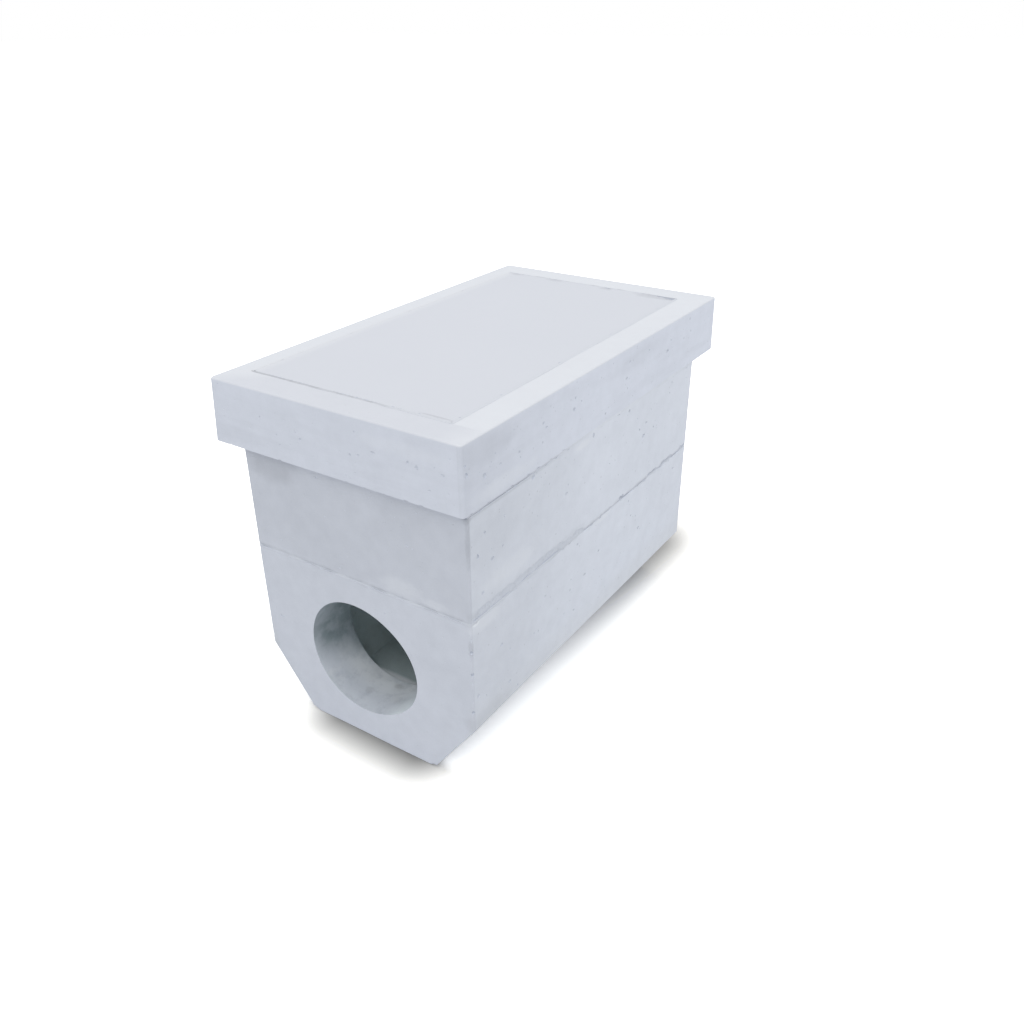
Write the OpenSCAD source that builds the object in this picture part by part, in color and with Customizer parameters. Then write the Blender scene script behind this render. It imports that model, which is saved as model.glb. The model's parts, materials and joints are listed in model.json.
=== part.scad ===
// Sectional drainage inspection chamber in precast concrete.
// Four castings stand on one another: a trough-shaped base with a pipe bore in each end,
// a plain riser, a cover frame that overhangs the body, and a cover slab that lifts out.
// X runs across the chamber, Y along the pipe run and Z up.
// The origin is the middle of the flat underside that the base stands on.

/* [Body] */
// Outer width of the base and the riser, across the pipe run
body_w = 610; // [560:1:700]
// Outer length of the base and the riser, along the pipe run
body_l = 1050; // [900:1:1300]
// Thickness of the long side walls
side_wall = 75; // [60:1:90]
// Leg of the small slope cast along the body's outer edges
body_arris = 4; // [2:0.5:8]
// Leg of the upright splay in each inside corner
inside_splay = 20; // [10:1:40]

/* [Base section] */
// Height of the base from its underside to the shoulder that carries the riser
base_h = 440; // [420:1:560]
// Thickness of the two end walls that the pipes pass through
end_wall = 130; // [100:1:160]
// Thickness of the floor
floor_t = 70; // [50:1:72]
// Width that the slope takes off each long bottom edge
slope_w = 116; // [80:1:130]
// Height of the slope on each long bottom edge
slope_h = 160; // [120:1:190]

/* [Pipe run] */
// Diameter of the pipe bore in each end wall
bore_d = 300; // [225:1:308]
// Height of the pipe run's axis above the underside
bore_z = 225; // [222:1:255]
// Sideways place of the pipe run's axis from the middle of the body
bore_x = -8; // [-20:1:20]

/* [Riser section] */
// Height of the riser
riser_h = 245; // [150:1:500]
// Thickness of the riser's end walls
riser_end_wall = 75; // [60:1:90]

/* [Joints] */
// Thickness of the bedding between two sections
bed_t = 3; // [2:0.5:8]
// Distance that the bedding stands back from the faces of the walls
bed_inset = 6; // [3:0.5:10]
// Width of the base's outer shoulder, which is also the thickness of the riser's skirt
lap_shoulder = 38; // [30:1:42]
// Height of the upstand that locates the riser on the base
lap_h = 20; // [12:1:30]
// Clearance between the upstand and the skirt around it
lap_gap = 3; // [2:0.5:6]

/* [Cover frame] */
// Height of the cover frame
frame_h = 150; // [120:1:200]
// Distance that each side of the frame leans in from its foot to its top
frame_draft = 6; // [2:0.5:12]
// Overhang of the frame's foot past the body's left long side
over_left = 77; // [40:1:110]
// Overhang of the frame's foot past the body's right long side
over_right = 0; // [0:1:40]
// Overhang of the frame's foot past the body's front end
over_front = 12; // [0:1:40]
// Overhang of the frame's foot past the body's back end
over_back = 135; // [80:1:150]
// Width of the rim at the top, on the left long side
rim_left = 49; // [40:1:90]
// Width of the rim at the top, on the right long side
rim_right = 74; // [50:1:100]
// Width of the rim at the top, at the front end
rim_front = 75; // [50:1:100]
// Width of the rim at the top, at the back end
rim_back = 78; // [50:1:100]
// Width of the seat under each long edge of the cover slab
seat_side = 65; // [30:1:75]
// Width of the seat under each end of the cover slab
seat_end = 80; // [40:1:90]
// Leg of the small slope along the frame's top edge
frame_arris = 5; // [2:0.5:10]
// Leg of the splay on each upright outer corner of the frame
frame_splay = 9; // [4:0.5:20]

/* [Cover slab] */
// Thickness of the cover slab, which is also the depth of the pocket it lies in
slab_t = 60; // [40:1:80]
// Gap between the cover slab and its pocket, on all four sides
slab_gap = 5; // [5:0.5:8]
// Distance that each edge of the slab leans out from its underside to its top
slab_draft = 5; // [2:0.5:10]
// Leg of the small slope along the slab's top edge
slab_arris = 1.5; // [0.5:0.5:3]
// Leg of the splay on each upright corner of the slab and of its pocket
slab_splay = 6; // [3:0.5:15]

/* [Hidden] */

// How far a cutting shape runs past the face that it cuts
past = 1;

casting_colour = [0.79, 0.82, 0.87];
frame_colour = [0.84, 0.87, 0.91];
slab_colour = [0.80, 0.83, 0.88];
bedding_colour = [0.52, 0.55, 0.59];

// Heights at which the pieces start
riser_z = base_h + bed_t;
riser_top = riser_z + riser_h;
frame_z = riser_top + bed_t;
frame_top = frame_z + frame_h;
seat_z = frame_top - slab_t;

// Plan outlines, each as [left, right, front, back]
body_plan = [-body_w / 2, body_w / 2, -body_l / 2, body_l / 2];
trough_plan = inset_xy(body_plan, side_wall, end_wall);
shaft_plan = inset_xy(body_plan, side_wall, riser_end_wall);
skirt_plan = inset(body_plan, lap_shoulder);
frame_foot = [
    body_plan[0] - over_left,
    body_plan[1] + over_right,
    body_plan[2] - over_front,
    body_plan[3] + over_back
];
frame_rim = inset(frame_foot, frame_draft);
pocket_mouth = [
    frame_rim[0] + rim_left,
    frame_rim[1] - rim_right,
    frame_rim[2] + rim_front,
    frame_rim[3] - rim_back
];
pocket_floor = inset(pocket_mouth, slab_draft);
slab_foot = inset(pocket_floor, slab_gap);
hatch_plan = inset_xy(pocket_floor, seat_side, seat_end);

// The trough's inner slope runs parallel to the outer one, a side wall's thickness inside it
slope_run = slope_w / slope_h;
slope_len = sqrt(slope_w * slope_w + slope_h * slope_h);
slope_shift = side_wall * slope_len / slope_h;
foot_half = body_w / 2 - slope_w;
trough_half = body_w / 2 - side_wall;
trough_floor_half = foot_half + floor_t * slope_run - slope_shift;
trough_slope_top = (trough_half - foot_half + slope_shift) / slope_run;

// A plan outline moved in by one distance on all four sides
function inset(plan, by) = inset_xy(plan, by, by);

// A plan outline moved in by one distance across and another along the pipe run
function inset_xy(plan, x, y) = [plan[0] + x, plan[1] - x, plan[2] + y, plan[3] - y];

// A square-edged block over a plan outline
module plan_block(plan, z, h) {
    translate([plan[0], plan[2], z])
        cube([plan[1] - plan[0], plan[3] - plan[2], h]);
}

// A bar along Y whose two sides lean out by lean, with small slopes at its lower and upper edges
module leaning_bar(half, h, lean, low, high, reach) {
    low_half = half + lean * low / h;
    high_half = half + lean * (h - high) / h;
    rotate([90, 0, 0])
        linear_extrude(height = reach, center = true)
            polygon([
                [low - half, 0],
                [half - low, 0],
                [low_half, low],
                [high_half, h - high],
                [half + lean - high, h],
                [high - half - lean, h],
                [-high_half, h - high],
                [-low_half, low]
            ]);
}

// A block over the plan outline foot, cast with its four sides leaning out by lean.
// low and high are the legs of the slopes on its edges, splay is the leg at its upright corners.
module cast_block(foot, z, h, lean, low, high, splay) {
    half_x = (foot[1] - foot[0]) / 2;
    half_y = (foot[3] - foot[2]) / 2;
    half_splay = (half_x + half_y - splay) / sqrt(2);
    reach = 4 * (half_x + half_y);
    translate([foot[0] + half_x, foot[2] + half_y, z])
        intersection() {
            leaning_bar(half_x, h, lean, low, high, reach);
            rotate(90)
                leaning_bar(half_y, h, lean, low, high, reach);
            for (turn = [45, -45])
                rotate(turn)
                    leaning_bar(half_splay, h, lean * sqrt(2), low, high, reach);
        }
}

// The hollow of the riser and of the upstand on the base
module shaft_hollow(z, h) {
    cast_block(shaft_plan, z, h, 0, 0, 0, inside_splay);
}

// The hollow of the base: sloped up from its floor, then upright between the end walls
module trough_hollow() {
    top = base_h + lap_h + past;
    intersection() {
        rotate([90, 0, 0])
            linear_extrude(height = body_l, center = true)
                polygon([
                    [-trough_floor_half, floor_t],
                    [trough_floor_half, floor_t],
                    [trough_half, trough_slope_top],
                    [trough_half, top],
                    [-trough_half, top],
                    [-trough_half, trough_slope_top]
                ]);
        cast_block(trough_plan, 0, top, 0, 0, 0, inside_splay);
    }
}

// The outside of the base: a block with its two long bottom edges sloped off
module trough_outside() {
    intersection() {
        rotate([90, 0, 0])
            linear_extrude(height = body_l, center = true)
                polygon([
                    [-foot_half, 0],
                    [foot_half, 0],
                    [body_w / 2, slope_h],
                    [body_w / 2, base_h],
                    [-body_w / 2, base_h],
                    [-body_w / 2, slope_h]
                ]);
        cast_block(body_plan, 0, base_h, 0, 0, body_arris, body_arris);
    }
}

// The round holes through both end walls, on the axis of the pipe run
module pipe_bores() {
    for (side = [-1, 1])
        translate([bore_x, side * (body_l - end_wall) / 2, bore_z])
            rotate([90, 0, 0])
                cylinder(h = end_wall + 2 * past, d = bore_d, center = true, $fn = 96);
}

// Trough-shaped bottom casting, with the upstand that the riser's skirt laps over
module base_section() {
    color(casting_colour)
        difference() {
            union() {
                trough_outside();
                plan_block(inset(skirt_plan, lap_gap), base_h - past, lap_h + past);
            }
            shaft_hollow(base_h, lap_h + past);
            trough_hollow();
            pipe_bores();
        }
}

// Bedding strip on the base's shoulder, under the riser's skirt
module lower_bedding() {
    color(bedding_colour)
        difference() {
            plan_block(inset(body_plan, bed_inset), base_h, bed_t);
            plan_block(inset(skirt_plan, -lap_gap), base_h - past, bed_t + 2 * past);
        }
}

// Plain rectangular casting that lengthens the shaft, with a skirt round its foot
module riser_section() {
    color(casting_colour)
        difference() {
            cast_block(body_plan, riser_z, riser_h, 0, body_arris, body_arris, body_arris);
            shaft_hollow(riser_z - past, riser_h + 2 * past);
            plan_block(skirt_plan, riser_z - past, lap_h + lap_gap - bed_t + past);
        }
}

// Bedding on the riser's walls, where the cover frame bears on them
module upper_bedding() {
    bed_inside = inset_xy(shaft_plan, -bed_inset, -bed_inset);
    color(bedding_colour)
        difference() {
            plan_block(inset(body_plan, bed_inset), riser_top, bed_t);
            plan_block(bed_inside, riser_top - past, bed_t + 2 * past);
            plan_block(hatch_plan, riser_top - past, bed_t + 2 * past);
        }
}

// Collar with drafted sides, the pocket for the cover slab and the clear opening below it
module cover_frame() {
    deeper = past / slab_t;
    color(frame_colour)
        difference() {
            cast_block(frame_foot, frame_z, frame_h, -frame_draft, 0, frame_arris, frame_splay);
            cast_block(pocket_floor, seat_z, slab_t + past, slab_draft * (1 + deeper), 0, 0, slab_splay);
            cast_block(hatch_plan, frame_z - past, frame_h, 0, 0, 0, inside_splay);
        }
}

// Loose cover slab, flush with the frame and drafted so that it lifts straight out
module cover_slab() {
    color(slab_colour)
        cast_block(slab_foot, seat_z, slab_t, slab_draft, 0, slab_arris, slab_splay);
}

base_section();
lower_bedding();
riser_section();
upper_bedding();
cover_frame();
cover_slab();
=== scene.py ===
# %% [markdown]
# # A precast drainage chamber
# The chamber is four concrete castings that stand on one another: a trough-shaped base with
# a pipe bore in each end, a plain riser, a wide cover frame, and a slab that lies in the frame.
# The solids come packed from the CAD source, in metres, with the origin in the middle of the
# underside. They are right in size but too clean: nothing cast in a mould has sharp arrises,
# even faces and no air holes. Here each casting is modelled again to the same sizes, then worn,
# and given a procedural concrete.

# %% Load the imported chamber
import json
import math
import random

import bpy
from mathutils import Matrix, Vector

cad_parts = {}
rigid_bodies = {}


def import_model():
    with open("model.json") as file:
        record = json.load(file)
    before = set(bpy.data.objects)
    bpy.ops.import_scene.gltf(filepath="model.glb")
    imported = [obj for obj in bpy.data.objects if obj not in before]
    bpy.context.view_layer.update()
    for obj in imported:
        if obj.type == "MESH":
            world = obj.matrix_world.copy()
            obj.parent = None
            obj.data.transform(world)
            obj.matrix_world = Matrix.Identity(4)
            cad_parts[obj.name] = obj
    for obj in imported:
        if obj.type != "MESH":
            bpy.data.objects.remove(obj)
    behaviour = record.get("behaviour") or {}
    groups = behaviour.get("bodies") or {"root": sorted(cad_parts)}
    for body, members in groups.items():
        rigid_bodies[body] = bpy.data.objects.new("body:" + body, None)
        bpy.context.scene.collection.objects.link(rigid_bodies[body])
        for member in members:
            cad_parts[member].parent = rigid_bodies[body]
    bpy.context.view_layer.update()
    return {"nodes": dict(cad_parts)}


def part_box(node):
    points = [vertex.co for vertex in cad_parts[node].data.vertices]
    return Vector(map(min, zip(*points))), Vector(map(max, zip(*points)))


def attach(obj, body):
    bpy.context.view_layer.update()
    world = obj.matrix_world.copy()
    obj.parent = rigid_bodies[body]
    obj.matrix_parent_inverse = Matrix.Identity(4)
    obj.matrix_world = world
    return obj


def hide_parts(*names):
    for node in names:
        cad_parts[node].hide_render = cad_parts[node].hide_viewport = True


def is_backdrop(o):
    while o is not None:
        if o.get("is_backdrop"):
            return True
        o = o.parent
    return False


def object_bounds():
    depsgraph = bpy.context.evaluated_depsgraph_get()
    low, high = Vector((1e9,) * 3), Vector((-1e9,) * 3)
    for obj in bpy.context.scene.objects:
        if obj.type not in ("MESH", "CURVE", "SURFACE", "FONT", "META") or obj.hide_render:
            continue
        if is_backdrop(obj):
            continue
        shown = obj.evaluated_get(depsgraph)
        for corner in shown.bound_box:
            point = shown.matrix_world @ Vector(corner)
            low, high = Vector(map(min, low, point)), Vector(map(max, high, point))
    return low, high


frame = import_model()
print("nodes:", sorted(frame["nodes"]))

# %% [markdown]
# ## Sizes
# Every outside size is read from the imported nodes, so the castings follow the CAD model if it
# changes. Sizes that a box doesn't show, such as wall thicknesses, are named here once. A few of
# them are faults of the moulds: the bore came out a little wide, low and uneven, and the back
# end of the frame leans less than its sides do.

# %% Named sizes, in metres
BASE_LOW, BASE_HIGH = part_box("base_section")
RISER_LOW, RISER_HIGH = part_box("riser_section")
FRAME_LOW, FRAME_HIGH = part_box("cover_frame")
SLAB_LOW, SLAB_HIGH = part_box("cover_slab")
LOWER_BED_LOW, LOWER_BED_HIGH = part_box("lower_bedding")
UPPER_BED_LOW, UPPER_BED_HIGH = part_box("upper_bedding")

SIDE_WALL = 0.075
BASE_END_WALL = 0.130
RISER_END_WALL = 0.075
INSIDE_SPLAY = 0.020
FLOOR_THICKNESS = 0.070
SLOPE_WIDTH = 0.116
SLOPE_HEIGHT = 0.160
FOOT_HALF_WIDTH = RISER_HIGH.x - SLOPE_WIDTH
BODY_ARRIS = 0.003
BODY_INNER_ARRIS = 0.002

BORE_RADIUS = 0.150
BORE_X = -0.008
BORE_Z = 0.225
BORE_SPREAD = 1.035
BORE_SQUASH = 0.978
BORE_SAG = 0.0015
BORE_LOBES = 0.018

SHOULDER_Z = LOWER_BED_LOW.z
SKIRT_THICKNESS = 0.038
SKIRT_HEIGHT = 0.020
LAP_GAP = 0.003

FRAME_DRAFT = 0.006
BACK_SPREAD = 0.0055
FRAME_CORNER = 0.009
FRAME_ARRIS = 0.005
FRAME_INNER_ARRIS = 0.0015
SEAT_SIDE = 0.065
SEAT_END = 0.080

SLAB_DRAFT = 0.005
SLAB_GAP = 0.005
SLAB_CORNER = 0.006
SLAB_TOP_ARRIS = 0.0003
SLAB_FOOT_ARRIS = 0.0015

# How far a core reaches past the face that it opens, and how near counts as the same place
PAST = 0.002
NEAR = 1e-4

print("base shoulder at", round(SHOULDER_Z, 4), "and frame foot at", round(FRAME_LOW.z, 4))

# %% [markdown]
# ## Camera
# The chamber is looked at from above its near right corner. The camera stands close, which gives
# the strong taper of the long sides. It could be aimed by a constraint, but its place and its
# three turns say the same with nothing else in the scene to depend on.

# %% Set up the camera
CAMERA_PLACE = (1.2200, -1.7554, 1.5337)
CAMERA_TURN = (61.525, 0.3215, 33.3126)
CAMERA_LENS = 32.477
CAMERA_SENSOR = 36.0

camera_data = bpy.data.cameras.new("camera")
camera_data.lens = CAMERA_LENS
camera_data.sensor_width = CAMERA_SENSOR
camera_data.clip_start = 0.05
camera_data.clip_end = 200.0
camera = bpy.data.objects.new("camera", camera_data)
camera.location = CAMERA_PLACE
camera.rotation_euler = [math.radians(turn) for turn in CAMERA_TURN]
bpy.context.scene.collection.objects.link(camera)
bpy.context.scene.camera = camera

# %% [markdown]
# ## Shader arithmetic
# A material is a graph of nodes. Written out node by node it is long and hard to read, so one
# small class wraps a socket: ordinary arithmetic on it adds Math nodes, and one method adds any
# other node. Colours never go through Math nodes, which would turn them grey.

# %% A socket that can be calculated with
class Wire:
    """One output socket of a node tree."""

    def __init__(self, tree, socket):
        self.tree = tree
        self.socket = socket

    def add(self, kind, settings, sockets, out=0):
        """Adds a node: its settings first, then the values or links of its sockets."""
        node = self.tree.nodes.new(kind)
        for name, value in settings.items():
            setattr(node, name, value)
        for key, value in sockets.items():
            if isinstance(value, Wire):
                self.tree.links.new(value.socket, node.inputs[key])
            else:
                node.inputs[key].default_value = value
        return Wire(self.tree, node.outputs[out]) if node.outputs else None

    def math(self, operation, first, second):
        return self.add("ShaderNodeMath", {"operation": operation}, {0: first, 1: second})

    def __add__(self, other):
        return self.math("ADD", self, other)

    __radd__ = __add__

    def __mul__(self, other):
        return self.math("MULTIPLY", self, other)

    __rmul__ = __mul__

    def __sub__(self, other):
        return self.math("SUBTRACT", self, other)

    def __rsub__(self, other):
        return self.math("SUBTRACT", other, self)

    def least(self, other):
        return self.math("MINIMUM", self, other)

    def most(self, other):
        return self.math("MAXIMUM", self, other)

    def size(self):
        return self.math("ABSOLUTE", self, 0.0)


print("arithmetic on sockets: + - * and their reflected forms")

# %% [markdown]
# The patterns of concrete are all made from a few parts: a soft step between two values, noise
# of a given size, scattered specks, and a soft patch at one place. They could be painted on, but
# a pattern worked out from the place of a point needs no image and is sharp at any distance.

# %% Colours
def paint(red, green, blue):
    """A colour written as a painter reads it from a screen, 0 to 255, as linear light."""
    return tuple((channel / 255) ** 2.2 for channel in (red, green, blue)) + (1.0,)


def grey(share):
    """A tint that leaves that share of the light."""
    return (share, share, share, 1.0)


def blend(factor, first, second, way="MIX"):
    """One colour into another."""
    settings = {"data_type": "RGBA", "blend_type": way}
    return factor.add("ShaderNodeMix", settings, {0: factor, 6: first, 7: second}, 2)


def soil(mask, colour, tint):
    """A colour seen through a tint where the mask is."""
    return blend(mask, colour, tint, "MULTIPLY")


print("half grey on a screen is", round(paint(128, 128, 128)[0], 3), "of the light")

# %% Steps and noise
def step(value, start, end):
    """0 before start, 1 after end, and smooth between them."""
    return value.add(
        "ShaderNodeMapRange",
        {"interpolation_type": "SMOOTHSTEP", "clamp": True},
        {"Value": value, "From Min": start, "From Max": end, "To Min": 0.0, "To Max": 1.0},
    )


def noise(place, metres, detail=3.0, roughness=0.5, stretch=(1.0, 1.0, 1.0), shift=0.0):
    """Cloudy noise from 0 to 1, whose lumps are about the given size in metres."""
    moved = place.add(
        "ShaderNodeMapping",
        {"vector_type": "POINT"},
        {"Vector": place, "Location": (shift, shift, shift), "Scale": stretch},
    )
    return place.add(
        "ShaderNodeTexNoise",
        {"noise_dimensions": "3D"},
        {"Vector": moved, "Scale": 1 / metres, "Detail": detail, "Roughness": roughness},
    )


print("patterns: step and noise")

# %% Specks and patches
def specks(place, metres, share, radius):
    """Small round specks on a loose net of cells; only that share of the cells holds one."""
    near = {"Vector": place, "Scale": 1 / metres, "Randomness": 1.0}
    distance = place.add("ShaderNodeTexVoronoi", {"feature": "F1"}, near, "Distance")
    cell = place.add("ShaderNodeTexVoronoi", {"feature": "F1"}, near, "Color")
    chance = place.add("ShaderNodeSeparateColor", {}, {"Color": cell}, 0)
    size = place.add("ShaderNodeSeparateColor", {}, {"Color": cell}, 1)
    reach = size * (radius / metres)
    return (1 - step(distance - reach, -0.02, 0.08)) * step(chance, 1 - share, 1 - share + 0.01)


def patch(place, centre, reach, ragged=0.35):
    """1 at a place and 0 beyond its reach along each axis, with a ragged soft edge."""
    away = place.add("ShaderNodeVectorMath", {"operation": "SUBTRACT"}, {0: place, 1: centre})
    inverse = tuple(1 / side for side in reach)
    scaled = place.add("ShaderNodeVectorMath", {"operation": "MULTIPLY"}, {0: away, 1: inverse})
    distance = place.add("ShaderNodeVectorMath", {"operation": "LENGTH"}, {0: scaled}, "Value")
    rough = noise(place, min(reach) * 0.9, shift=centre[1])
    return 1 - step(distance + (rough - 0.5) * (2 * ragged), 0.35, 1.0)


def dab(place, colour, spots, change, other):
    """A colour soiled or blended at each spot, given by its centre, its reach and a share."""
    for centre, reach, share in spots:
        colour = change(patch(place, centre, reach) * share, colour, other)
    return colour


print("patterns: specks, patch and dab")

# %% [markdown]
# ## Concrete
# Precast concrete is a pale grey that is never quite even: broad clouds where the cement paste
# lay thicker, small blotches, fine grain, and scattered dark specks of sand. One noise alone
# would look like smoke, so noises of three sizes are added up into one number, which runs from a
# darker to a lighter tone. The surface is matt, with a very shallow relief.

# %% Start and finish of a material
def new_finish(name):
    """An empty material, and the piece's own coordinates in it."""
    material = bpy.data.materials.new(name)
    material.use_nodes = True
    tree = material.node_tree
    tree.nodes.clear()
    coordinates = tree.nodes.new("ShaderNodeTexCoord")
    return material, Wire(tree, coordinates.outputs["Object"])


def axes(place):
    """The X, Y and Z of a place, each as its own socket."""
    return [place.add("ShaderNodeSeparateXYZ", {}, {"Vector": place}, n) for n in range(3)]


def matt_surface(material, colour, roughness, relief, depth):
    """Closes a material: a matt surface of that colour, with a relief of that depth in metres."""
    bump = {"Height": relief, "Strength": 1.0, "Distance": depth}
    finish = {
        "Base Color": colour,
        "Roughness": roughness,
        "Specular IOR Level": 0.25,
        "Normal": colour.add("ShaderNodeBump", {}, bump, "Normal"),
    }
    surface = colour.add("ShaderNodeBsdfPrincipled", {}, finish, "BSDF")
    surface.add("ShaderNodeOutputMaterial", {}, {"Surface": surface})
    return material


print("a material starts empty and ends in a matt surface")

# %% Tone and relief of a cast face
def cloudy_tone(place, broad=0.30, blotch=0.30, grain=0.16, shift=0.0):
    """How light the concrete is at a place, about 0 to 1."""
    clouds = noise(place, 0.22, detail=4.0, roughness=0.55, shift=shift)
    blotches = noise(place, 0.035, detail=3.0, roughness=0.6, shift=shift + 3.0)
    fine = noise(place, 0.0028, detail=2.0, roughness=0.7)
    tone = (clouds - 0.5) * (broad * 3) + (blotches - 0.5) * (blotch * 2)
    return tone + (fine - 0.5) * (grain * 2) + 0.5


def fine_relief(place):
    """The relief of a cast face: soft waves, sand grain and pinholes."""
    waves = noise(place, 0.030, detail=2.0)
    sand = noise(place, 0.0032, detail=3.0, roughness=0.65)
    pinholes = specks(place, 0.013, 0.45, 0.0016)
    return waves * 0.45 + sand * 0.35 - pinholes * 0.9


print("concrete: a tone of three noises, and a relief of waves, sand and pinholes")

# %% [markdown]
# ## The three mixes
# The base and the riser come from one mix. Their ends were cast against plain end plates and
# are smoother and a little darker; both castings are painted darker towards the near end as
# shade, fading towards the back, and their sides are speckled. The frame is a paler mix,
# lightest on its trowelled rim, with the same painted shade at its near end. The slab is
# trowelled smooth all over its top, so it is the evenest of all. Stains and smears could be left
# to chance, but those near the eye tell where water ran and where a trowel wiped, so they are
# listed, each as a centre, how far it reaches along the three axes, and how strong it is. A few
# of the dark patches are painted shade instead: in the corner under the frame's foot and along
# the gap round the slab.

# %% Stains, painted shade and smears of the body
BODY_STAINS_AND_SHADE = [
    ((-0.225, -0.525, 0.668), (0.100, 0.040, 0.060), 0.75),
    # This patch is painted shade, in the corner where the frame's foot meets the riser
    ((0.302, -0.523, 0.688), (0.014, 0.014, 0.022), 0.80),
    ((0.140, -0.525, 0.640), (0.110, 0.040, 0.070), 0.15),
    ((0.303, -0.524, 0.630), (0.009, 0.009, 0.075), 0.70),
    ((0.303, -0.524, 0.380), (0.009, 0.009, 0.030), 0.70),
    ((0.305, -0.380, 0.275), (0.040, 0.190, 0.075), 0.15),
    ((0.305, -0.430, 0.610), (0.040, 0.120, 0.080), 0.20),
    ((0.305, -0.480, 0.175), (0.040, 0.120, 0.035), 0.35),
]
BODY_SMEARS = [
    ((0.120, -0.525, 0.470), (0.075, 0.030, 0.028), 0.22),
    ((0.305, -0.507, 0.437), (0.030, 0.020, 0.009), 0.90),
    ((0.215, -0.525, 0.458), (0.050, 0.030, 0.014), 0.18),
    ((0.305, -0.470, 0.425), (0.040, 0.080, 0.024), 0.32),
    ((0.305, -0.080, 0.672), (0.040, 0.050, 0.012), 0.35),
    ((0.305, 0.030, 0.433), (0.040, 0.055, 0.011), 0.35),
    ((0.305, -0.380, 0.505), (0.040, 0.130, 0.035), 0.25),
]
SMEAR = paint(238, 243, 250)
print("body:", len(BODY_STAINS_AND_SHADE), "stains and", len(BODY_SMEARS), "smears")

# %% Body concrete
def body_concrete():
    material, place = new_finish("worn_body_concrete")
    x, y, z = axes(place)
    tone = cloudy_tone(place, broad=0.20, blotch=0.34, grain=0.14)
    colour = blend(tone, paint(217, 223, 234), paint(237, 243, 254))
    # Painted shade darkens the near end; both end faces are darker too, most of all on the damp
    # riser
    painted_near_end_shade = 1 - step(y, -0.50, 0.08)
    colour = soil(painted_near_end_shade, colour, grey(0.89))
    end_face = step(y.size(), RISER_HIGH.y - 0.007, RISER_HIGH.y - 0.004)
    colour = soil(end_face, colour, (0.925, 0.925, 0.935, 1.0))
    damp_and_shade = end_face * step(z, SHOULDER_Z, SHOULDER_Z + 0.02)
    colour = soil(damp_and_shade * (0.4 + noise(place, 0.09, shift=6.0)), colour, grey(0.94))
    # Along the broken lower arris of the riser the skin is painted darker as shade of the spall,
    # and the foot is splashed
    right_side = step(x, RISER_HIGH.x - 0.015, RISER_HIGH.x - 0.005)
    band = step(z, RISER_LOW.z - 0.002, RISER_LOW.z + 0.002) * right_side
    band = band * (1 - step(z + noise(place, 0.02, shift=19.0) * 0.016, 0.468, 0.482))
    colour = soil(band * (1 - step(y, -0.09, -0.03)), colour, grey(0.94))
    both_sides = step(x.size(), RISER_HIGH.x - 0.025, RISER_HIGH.x - 0.005)
    splash = (1 - step(z, SLOPE_HEIGHT, 0.25)) * both_sides
    splash = splash * (0.5 + noise(place, 0.06, shift=17.0))
    colour = soil(splash, colour, (0.965, 0.96, 0.945, 1.0))
    # Dirt and painted shade lie along the lower joint; painted shade also lies under the frame's
    # edge at the top of the right side, towards the near end
    joint = 1 - step((z - RISER_LOW.z).size(), 0.003, 0.011)
    colour = soil(joint * step(noise(place, 0.03, shift=12.0), 0.30, 0.65), colour, grey(0.91))
    painted_shade_under_frame = step(z, RISER_HIGH.z - 0.010, RISER_HIGH.z - 0.002)
    painted_shade_under_frame = painted_shade_under_frame * step(x, RISER_HIGH.x - 0.025, RISER_HIGH.x - 0.015)
    colour = soil(painted_shade_under_frame * (1 - step(y, -0.40, -0.04)), colour, grey(0.86))
    colour = dab(place, colour, BODY_STAINS_AND_SHADE, soil, grey(0.84))
    colour = dab(place, colour, BODY_SMEARS, blend, SMEAR)
    sand = specks(place, 0.016, 0.35, 0.0022)
    colour = soil(sand * 0.5, colour, grey(0.75))
    return matt_surface(material, colour, tone * 0.1 + 0.82, fine_relief(place), 0.0006)


BODY_CONCRETE = body_concrete()
print(BODY_CONCRETE.name, len(BODY_CONCRETE.node_tree.nodes), "nodes")

# %% Frame concrete
FRAME_STAINS = [
    ((0.302, -0.450, 0.805), (0.040, 0.130, 0.040), 0.45),
    ((0.302, 0.180, 0.800), (0.040, 0.200, 0.030), 0.30),
    ((-0.300, -0.537, 0.720), (0.120, 0.040, 0.030), 0.30),
]
FRAME_SMEARS = [
    ((0.304, -0.390, 0.715), (0.040, 0.150, 0.024), 0.25),
    ((0.150, -0.536, 0.800), (0.140, 0.040, 0.020), 0.12),
]


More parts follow.
